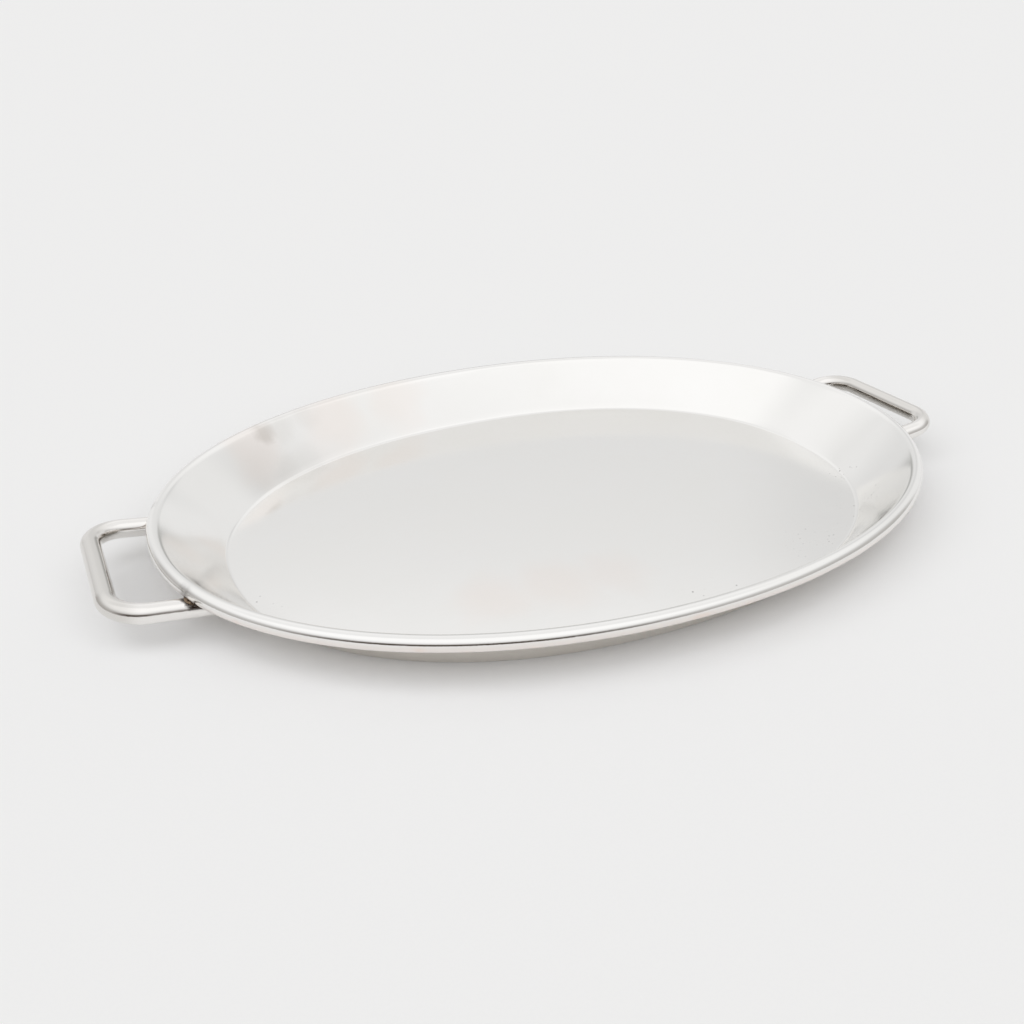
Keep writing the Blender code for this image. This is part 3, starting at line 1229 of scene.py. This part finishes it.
@dataclass
class Studio:
    """A pale sweep under an even white room, with the panels that the silver mirrors."""

    room: tuple[tuple[float, str], ...]
    panels: tuple[Panel, ...]
    glow: float = 1.08
    backdrop: str = "#EDEDED"
    floor_size: float = 60.0
    fill: float = 0.48
    fill_colour: str = "#FFFCF6"
    key_colour: str = "#F9FBFF"
    key_strength: float = 1.215
    key_azimuths: tuple[float, ...] = (-66.0, -2.0)
    key_elevation: float = 45.0
    key_spread: float = 68.0

    def build(self) -> None:
        """Lays the sweep and lights it."""
        bm = bmesh.new()
        bmesh.ops.create_grid(bm, x_segments=1, y_segments=1, size=self.floor_size)
        mesh = bpy.data.meshes.new("sweep")
        bm.to_mesh(mesh)
        bm.free()
        mesh.materials.append(PaperSweep().make())
        add_object("sweep", mesh)
        self.paint_room()
        self.hang_keys()

    def hang_keys(self) -> None:
        """Hangs the broad key lights that the sweep sees; the silver sees the room's panels instead."""
        for azimuth in self.key_azimuths:
            lamp = bpy.data.lights.new("key", "SUN")
            lamp.energy = self.key_strength
            lamp.angle = math.radians(self.key_spread)
            lamp.color = linear(self.key_colour)[:3]
            key = add_object("key", lamp)
            key.rotation_mode = "QUATERNION"
            toward = compass(azimuth, self.key_elevation)
            key.rotation_quaternion = toward.to_track_quat("Z", "Y")
            key.visible_glossy = False

    def paint_room(self) -> None:
        """Paints the room round the tray, as a world."""
        world = bpy.data.worlds.new("studio")
        bpy.context.scene.world = world
        world.use_nodes = True
        # The room is even and soft, so it is lit well enough without an importance map.
        world.cycles.sampling_method = "NONE"
        tree = world.node_tree
        tree.nodes.clear()
        way = add_node(tree, "TexCoord").outputs["Generated"]
        parts = add_node(tree, "SeparateXYZ", inputs={0: way})
        height = add_node(tree, "Math", {"operation": "ARCSINE"}, {0: parts.outputs["Z"]})
        share = add_node(
            tree,
            "Math",
            {"operation": "DIVIDE", "use_clamp": True},
            {0: height.outputs[0], 1: math.pi / 2},
        )
        walls = add_node(tree, "ValToRGB", inputs={0: share.outputs[0]})
        ramp = walls.color_ramp
        ramp.interpolation = "EASE"
        for degrees, tone in self.room[1:-1]:
            ramp.elements.new(degrees / 90).color = linear(tone)
        ramp.elements[0].color = linear(self.room[0][1])
        ramp.elements[-1].color = linear(self.room[-1][1])
        colour = walls.outputs[0]
        for panel in self.panels:
            mask = self.mask(tree, panel, way, height.outputs[0])
            colour = add_node(
                tree,
                "Mix",
                {"data_type": "RGBA", "label": panel.name},
                {0: mask, 6: colour, 7: linear(panel.colour)},
            ).outputs[2]
        path = add_node(tree, "LightPath")
        dimmed = add_node(
            tree,
            "MapRange",
            inputs={
                "Value": path.outputs["Diffuse Depth"],
                "To Min": self.glow,
                "To Max": self.glow * self.fill,
            },
        )
        tinted = add_node(
            tree,
            "Mix",
            {"data_type": "RGBA", "blend_type": "MULTIPLY", "label": "warm fill"},
            {0: path.outputs["Diffuse Depth"], 6: colour, 7: linear(self.fill_colour)},
        )
        lit = add_node(
            tree, "Background", inputs={"Color": tinted.outputs[2], "Strength": dimmed.outputs[0]}
        )
        plain = add_node(tree, "Background", inputs={"Color": linear(self.backdrop)})
        seen = path.outputs["Is Camera Ray"]
        both = add_node(tree, "MixShader", inputs={0: seen, 1: lit.outputs[0], 2: plain.outputs[0]})
        add_node(tree, "OutputWorld", inputs={"Surface": both.outputs[0]})

    def mask(
        self,
        tree: bpy.types.NodeTree,
        panel: Panel,
        way: bpy.types.NodeSocket,
        height: bpy.types.NodeSocket,
    ) -> bpy.types.NodeSocket:
        """Where a panel is, 0 to 1.

        Args:
            tree: The world's tree.
            panel: The panel.
            way: The direction.
            height: The direction's angle above the horizon, in radians.

        Returns:
            The mask.
        """
        ahead = compass(panel.azimuth)
        soft_turn, soft = (math.radians(angle) for angle in panel.softness)

        def along(line: Vector) -> bpy.types.NodeSocket:
            """How far the direction goes along a line."""
            return add_node(
                tree, "VectorMath", {"operation": "DOT_PRODUCT"}, {0: way, 1: line}
            ).outputs["Value"]

        def edge(value: bpy.types.NodeSocket, low: float, high: float) -> bpy.types.NodeSocket:
            """Makes a smooth step.

            Args:
                value: What it steps on.
                low: Where it is 0.
                high: Where it is 1.

            Returns:
                The step.
            """
            return add_node(
                tree,
                "MapRange",
                {"interpolation_type": "SMOOTHSTEP"},
                {"Value": value, "From Min": low, "From Max": high},
            ).outputs[0]

        aside = Vector((-ahead.y, ahead.x, 0.0))
        turn = add_node(tree, "Math", {"operation": "ARCTAN2"}, {0: along(aside), 1: along(ahead)})
        swing = add_node(tree, "Math", {"operation": "ABSOLUTE"}, {0: turn.outputs[0]})
        half, bottom, top = map(math.radians, (panel.half_angle, panel.bottom, panel.top))
        inside = [
            edge(swing.outputs[0], half + soft_turn / 2, half - soft_turn / 2),
            edge(height, bottom - soft / 2, bottom + soft / 2),
            edge(height, top + soft / 2, top - soft / 2),
        ]
        mask = inside[0]
        for part in inside[1:]:
            mask = add_node(tree, "Math", {"operation": "MULTIPLY"}, {0: mask, 1: part}).outputs[0]
        return mask


@dataclass(frozen=True)
class Viewpoint:
    """The camera, standing off a point near the tray's middle."""

    target_height: float
    target_x: float = -57.8 * MM
    target_y: float = -47.9 * MM
    azimuth: float = -26.54
    elevation: float = 27.91
    distance: float = 635.3 * MM
    lens: float = 35.79

    def build(self) -> None:
        """Makes it the scene's camera."""
        back = compass(self.azimuth, self.elevation)
        target = Vector((self.target_x, self.target_y, self.target_height))
        data = bpy.data.cameras.new("camera")
        data.lens = self.lens
        data.clip_start = 0.01
        data.clip_end = 200.0
        camera = add_object("camera", data)
        camera.location = target + back * self.distance
        camera.rotation_mode = "QUATERNION"
        camera.rotation_quaternion = (-back).to_track_quat("-Z", "Y")
        bpy.context.scene.camera = camera


ROOM = (
    (0.0, "#DEDEDE"),
    (22.0, "#E0E0E0"),
    (27.0, "#E3E3E3"),
    (30.5, "#E6E6E6"),
    (33.5, "#EEEEEE"),
    (43.0, "#F6F6F6"),
    (49.0, "#FDFDFD"),
    (57.0, "#FFFFFF"),
    (90.0, "#FFFFFF"),
)

PANELS = (
    Panel("far ceiling", 153.5, 85.0, 48.0, 120.0, "#EFEFEF", (30.0, 16.0)),
    Panel("skirting", -26.5, 121.0, -20.0, 23.0, "#B8B6B4", (16.0, 26.0)),
    Panel("far gap", 153.5, 9.0, -10.0, 13.0, "#AEAEAC", (8.0, 10.0)),
    Panel("right window", 111.5, 12.0, 2.0, 30.0, "#E9E9E9", (10.0, 8.0)),
    Panel("right sill", 129.5, 14.0, 2.0, 16.0, "#E9E9E9", (8.0, 8.0)),
    Panel("dim corner", 132.0, 5.0, 20.0, 30.0, "#D8D8D8", (8.0, 8.0)),
    Panel("left window", -168.5, 12.0, 2.0, 31.0, "#EAEAEA", (14.0, 8.0)),
    Panel("dark doorway", -26.5, 40.0, -20.0, 20.0, "#4C433C", (50.0, 12.0)),
)


def main() -> None:
    """Builds the tray's pieces in order, then the studio and the camera."""
    logging.basicConfig(level=logging.INFO, format="%(name)s: %(message)s")
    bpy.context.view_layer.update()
    plate = SilverPlate().make()
    # The plate underneath: unbuffed and rougher, and painted darker and warmer as shade.
    underside = SilverPlate(
        name="silver_plate_unbuffed_and_shaded",
        clean="#F1EDE7",
        bloom="#E6E1D9",
        roughness=0.28,
        hazed_roughness=0.40,
    ).make()
    # The handles' darker grey tone paints their grips darker towards the far end.
    handled = SilverPlate(name="silver_plate_hand_worn", blush="#EFE3DA", smear="#C4C1BB").make()
    solder = SilverSolder().make()

    dish = Dish(*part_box("tray_body"))
    log.info("built %s", dish.build(plate, underside).name)
    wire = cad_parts["rim_wire"]
    wire.data.materials.clear()
    wire.data.materials.append(DrawnSteel().make())
    for side in Side:
        handle = LoopHandle(side, dish, *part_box("handle_" + side.name.lower()))
        log.info("built %s", handle.build(handled).name)
        for end in End:
            brazing = Brazing(handle, end)
            log.info("built %s", brazing.drop(solder).name)
            log.info("built %s", brazing.fillet(solder).name)

    Studio(ROOM, PANELS).build()
    Viewpoint(dish.rim_height).build()
    bpy.context.scene.view_settings.view_transform = "Standard"


if __name__ == "__main__":
    main()
